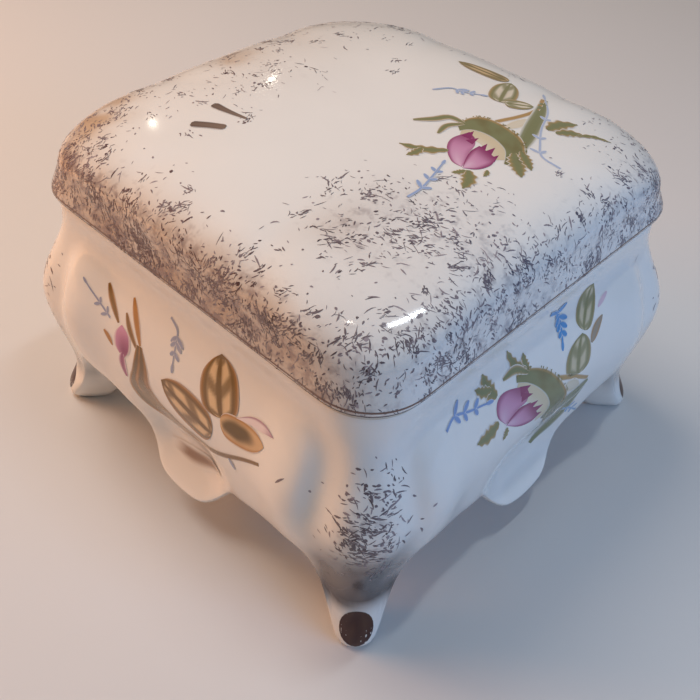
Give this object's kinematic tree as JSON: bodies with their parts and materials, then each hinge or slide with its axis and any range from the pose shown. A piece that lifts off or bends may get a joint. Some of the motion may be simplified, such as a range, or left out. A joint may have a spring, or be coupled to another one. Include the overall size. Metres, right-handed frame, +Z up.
{
  "type": "seal paste box",
  "caption": "Square footed porcelain box with a swelling body, lift-off domed lid and a cake of red seal paste in its well.",
  "frame": {"origin": "on the table, under the middle of the box: bottom centre of the bounding box", "axes": "+Z up through the lid; +X and +Y square to the sides; in the picture the left face is -Y and the right face is +X"},
  "size_m": [0.0966, 0.0966, 0.0696],
  "materials": {
    "body_porcelain": "glossy clear glaze over white porcelain",
    "lid_porcelain": "glossy clear glaze over white porcelain",
    "seal_paste": "soft, slightly oily vermilion paste"
  },
  "bodies": {
    "box": {"box_body": "body_porcelain", "seal_paste": "seal_paste"},
    "lid": {"lid": "lid_porcelain"}
  },
  "joints": [
    {"name": "lid_lift", "type": "slide", "parent": "box", "child": "lid", "axis": [0, 0, 1], "range_m": [0, 0.06]}
  ]
}
